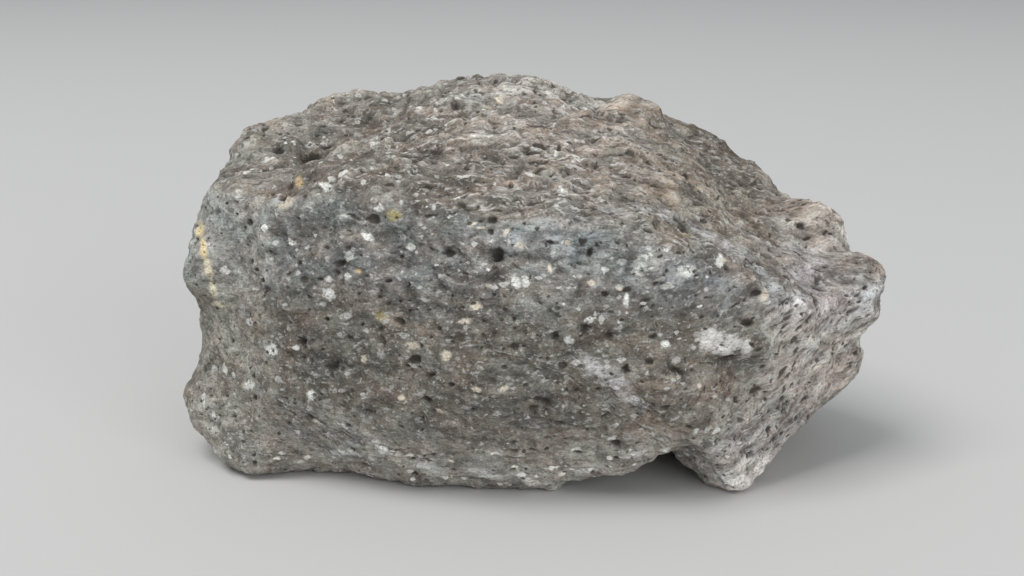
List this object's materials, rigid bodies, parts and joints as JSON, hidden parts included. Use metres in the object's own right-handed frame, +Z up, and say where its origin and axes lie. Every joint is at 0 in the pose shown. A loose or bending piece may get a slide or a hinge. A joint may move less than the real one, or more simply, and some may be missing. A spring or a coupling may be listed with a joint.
{
  "type": "basalt rock",
  "caption": "Broken lump of dark grey volcanic rock: blunt wedge with a worn front face, a sloping crown, a nose at one end, gas-bubble pits and pale crystals.",
  "frame": {"origin": "middle of the bounding box in plan, on the plane the rock rests on", "axes": "+X along the longest side, towards the end with the nose; +Y away from the worn front face, towards the back; +Z up"},
  "size_m": [0.1492, 0.0894, 0.0792],
  "materials": {
    "basalt": "matte, rough"
  },
  "bodies": {
    "root": {"basalt_rock": "basalt"}
  },
  "joints": []
}
